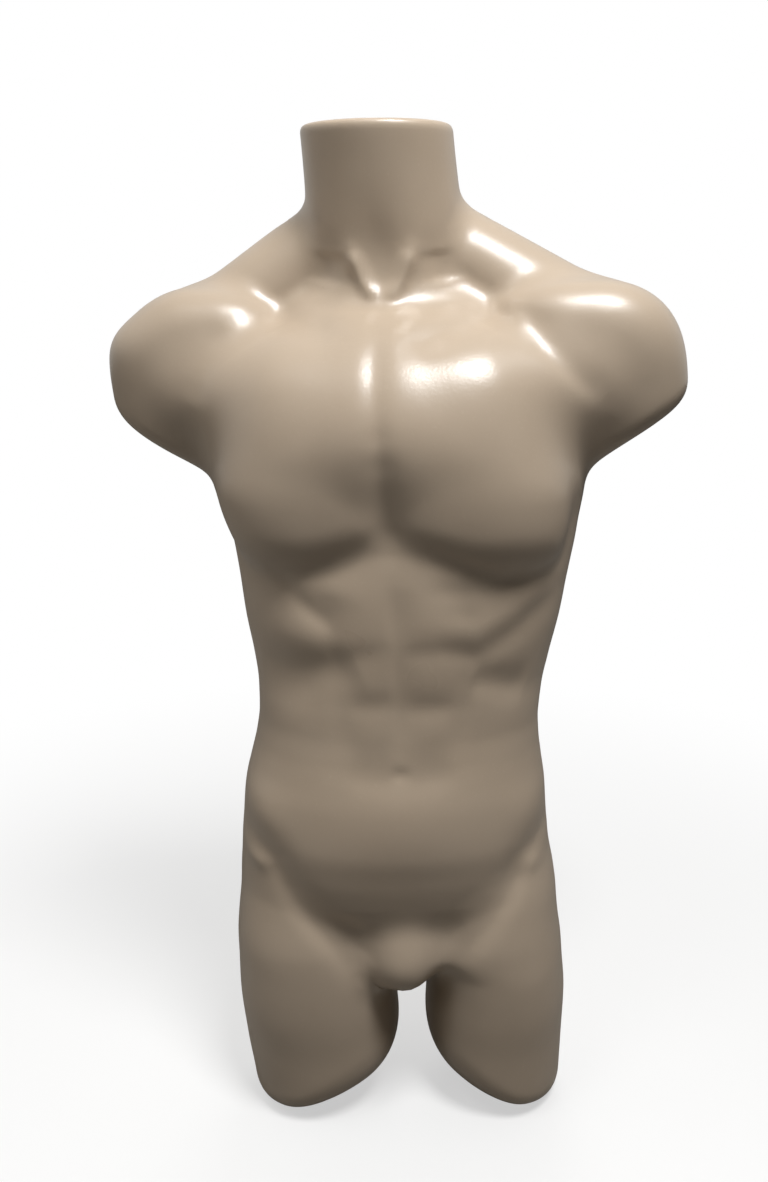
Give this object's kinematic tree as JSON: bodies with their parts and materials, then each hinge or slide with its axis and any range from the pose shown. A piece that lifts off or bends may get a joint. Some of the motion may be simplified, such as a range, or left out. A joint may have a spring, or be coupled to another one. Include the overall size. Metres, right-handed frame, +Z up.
{
  "type": "display mannequin torso",
  "caption": "Headless male display torso with arm stubs and thigh stubs, a hollow two-half shell with a clamped pole socket in the crotch.",
  "frame": {"origin": "pole seat: centre of the downward face inside the socket that rests on the end of the stand pole", "axes": "+Z up along the socket, the chest faces -Y, the torso's own left side is at +X"},
  "size_m": [0.5017, 0.2571, 0.9242],
  "materials": {
    "skin": "sprayed warm beige, glossy, faint orange peel",
    "glass_tape": "resin-soaked glass tape, unpainted",
    "plywood": "raw plywood",
    "steel": "zinc plated",
    "wing": "black moulding"
  },
  "bodies": {
    "torso": {"front_shell": "skin", "back_shell": "skin", "neck_plate": "skin", "thigh_plate_left": "skin", "thigh_plate_right": "skin", "seam_tape_left_side": "glass_tape", "seam_tape_right_side": "glass_tape", "seam_tape_left_shoulder": "glass_tape", "seam_tape_right_shoulder": "glass_tape", "mount_block": "plywood", "flange_plate": "steel", "socket_tube": "steel", "pole_stop": "steel", "clamp_nut": "steel", "flange_screw_1": "steel", "flange_screw_2": "steel", "flange_screw_3": "steel", "flange_screw_4": "steel"},
    "clamp_shank": {"clamp_screw_shank": "steel"},
    "clamp_wings": {"clamp_screw_wings": "wing"}
  },
  "joints": [
    {"name": "clamp_travel", "type": "slide", "parent": "torso", "child": "clamp_shank", "axis": [0, -1, 0], "range_m": [0, 0.002]},
    {"name": "clamp_turn", "type": "hinge", "parent": "clamp_shank", "child": "clamp_wings", "pos_m": [0, 0.0305, -0.092], "axis": [0, -1, 0], "range_deg": [0, 720]}
  ],
  "couplings": [
    {"joint": "clamp_turn", "follows": "clamp_travel", "rad_per_m": 6283.2}
  ]
}
